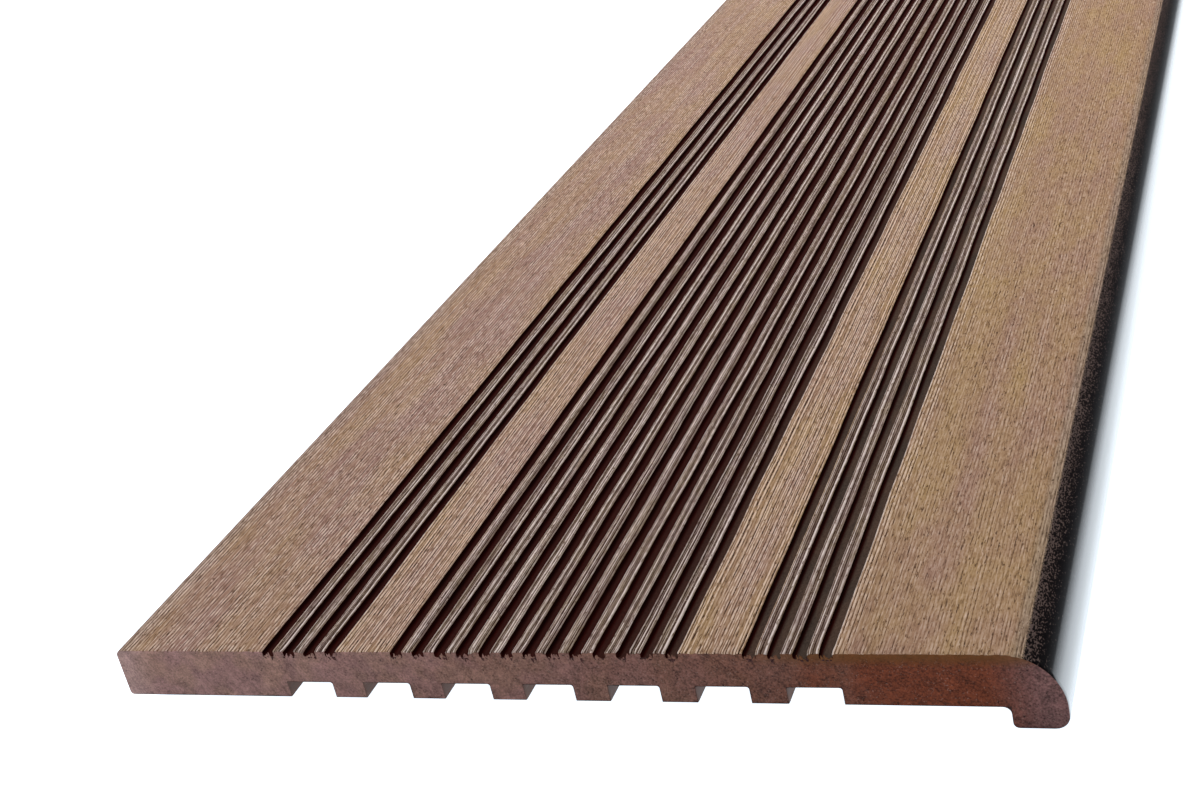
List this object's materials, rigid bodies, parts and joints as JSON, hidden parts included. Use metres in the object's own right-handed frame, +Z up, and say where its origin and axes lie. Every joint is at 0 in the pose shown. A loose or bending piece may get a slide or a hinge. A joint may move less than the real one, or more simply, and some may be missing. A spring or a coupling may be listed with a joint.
{
  "type": "composite stair tread",
  "caption": "Solid wood-plastic composite stair tread with a bullnose and lip along the front, anti-slip grooves in its brushed top and relief channels underneath.",
  "frame": {"origin": "under the middle of the tread, level with the bottom of the lip", "axes": "+X across the tread from the back edge to the nose, +Y along the length, +Z up out of the walking face"},
  "size_m": [0.35, 1.2, 0.028],
  "materials": {
    "composite": "brown wood-plastic composite, brushed on top, smooth dark extrusion skin on the nose, sawn at the ends"
  },
  "bodies": {
    "root": {"stair_tread": "composite"}
  },
  "joints": []
}
